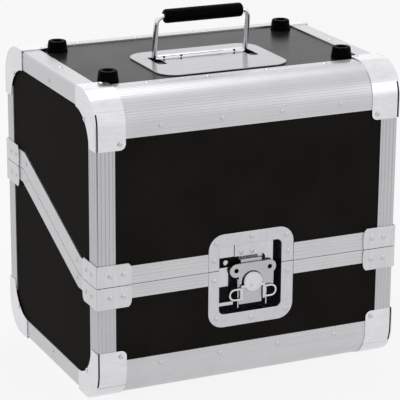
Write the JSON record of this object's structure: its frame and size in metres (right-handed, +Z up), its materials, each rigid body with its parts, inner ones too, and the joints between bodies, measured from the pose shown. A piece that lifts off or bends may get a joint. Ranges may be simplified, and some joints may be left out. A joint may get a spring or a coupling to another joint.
{
  "type": "record carrying case",
  "caption": "Carrying case for twelve-inch records with aluminium edge trims, a hinged lid split on a slanted line, a recessed turn latch, a folding handle and rubber feet.",
  "frame": {"origin": "on the floor under the middle of the case", "axes": "+X to the case's right as seen from the front, -Y out of the front where the latch is, +Z up"},
  "size_m": [0.3854, 0.3026, 0.4243],
  "materials": {
    "black_laminate": "satin laminate on plywood",
    "trim_aluminium": "drawn, with fine grooves",
    "corner_steel": "plated, satin",
    "rivet_steel": "bright",
    "foot_rubber": "matt",
    "lining_foam": "soft foam",
    "handle_chrome": "bright",
    "grip_rubber": "satin",
    "latch_steel": "bright plated",
    "hinge_steel": "plated"
  },
  "bodies": {
    "base": {"base_floor_panel": "black_laminate", "base_front_panel": "black_laminate", "base_back_panel": "black_laminate", "base_left_panel": "black_laminate", "base_right_panel": "black_laminate", "base_bottom_front_trim": "trim_aluminium", "base_bottom_back_trim": "trim_aluminium", "base_bottom_left_trim": "trim_aluminium", "base_bottom_right_trim": "trim_aluminium", "base_front_left_post": "trim_aluminium", "base_front_right_post": "trim_aluminium", "base_back_left_post": "trim_aluminium", "base_back_right_post": "trim_aluminium", "base_front_rim": "trim_aluminium", "base_back_rim": "trim_aluminium", "base_left_rim": "trim_aluminium", "base_right_rim": "trim_aluminium", "base_corner_caps": "corner_steel", "base_corner_brackets": "corner_steel", "base_rivets": "rivet_steel", "base_floor_pad": "lining_foam", "base_wall_pads": "lining_foam", "latch_lower_dish": "latch_steel", "latch_housing": "latch_steel", "hinge_lower_leaves": "hinge_steel", "hinge_pins": "hinge_steel"},
    "lid": {"lid_top_panel": "black_laminate", "lid_front_panel": "black_laminate", "lid_back_panel": "black_laminate", "lid_left_panel": "black_laminate", "lid_right_panel": "black_laminate", "lid_top_front_trim": "trim_aluminium", "lid_top_back_trim": "trim_aluminium", "lid_top_left_trim": "trim_aluminium", "lid_top_right_trim": "trim_aluminium", "lid_front_left_post": "trim_aluminium", "lid_front_right_post": "trim_aluminium", "lid_back_left_post": "trim_aluminium", "lid_back_right_post": "trim_aluminium", "lid_front_rim": "trim_aluminium", "lid_back_rim": "trim_aluminium", "lid_left_rim": "trim_aluminium", "lid_right_rim": "trim_aluminium", "lid_corner_caps": "corner_steel", "lid_corner_brackets": "corner_steel", "lid_rivets": "rivet_steel", "lid_feet": "foot_rubber", "lid_top_pad": "lining_foam", "lid_side_pads": "lining_foam", "handle_plate": "handle_chrome", "latch_upper_dish": "latch_steel", "latch_keeper": "latch_steel", "hinge_upper_leaves": "hinge_steel"},
    "bail": {"handle_bail": "handle_chrome", "handle_grip": "grip_rubber"},
    "latch_turn": {"latch_turn_disc": "latch_steel"},
    "latch_wing_left": {"latch_left_wing": "latch_steel"},
    "latch_wing_right": {"latch_right_wing": "latch_steel"},
    "latch_hook": {"latch_hook_plate": "latch_steel"}
  },
  "joints": [
    {"name": "lid_hinge", "type": "hinge", "parent": "base", "child": "lid", "pos_m": [0, 0.1502, 0.2177], "axis": [-1, 0, 0], "range_deg": [0, 100]},
    {"name": "handle_fold", "type": "hinge", "parent": "lid", "child": "bail", "pos_m": [-0.0024, -0.008, 0.3637], "axis": [1, 0, 0], "range_deg": [-9, 68]},
    {"name": "latch_turn", "type": "hinge", "parent": "base", "child": "latch_turn", "pos_m": [0.0052, -0.1455, 0.1236], "axis": [0, -1, 0], "range_deg": [0, 180]},
    {"name": "hook_slide", "type": "slide", "parent": "base", "child": "latch_hook", "axis": [0, 0, 1], "range_m": [0, 0.0036]},
    {"name": "left_wing_fold", "type": "hinge", "parent": "latch_turn", "child": "latch_wing_left", "pos_m": [-0.009, -0.1435, 0.1096], "axis": [0, 0, 1], "range_deg": [0, 95]},
    {"name": "right_wing_fold", "type": "hinge", "parent": "latch_turn", "child": "latch_wing_right", "pos_m": [0.0194, -0.1435, 0.1096], "axis": [0, 0, -1], "range_deg": [0, 95]}
  ],
  "couplings": [
    {"joint": "latch_turn", "follows": "hook_slide", "rad_per_m": 872.6}
  ]
}
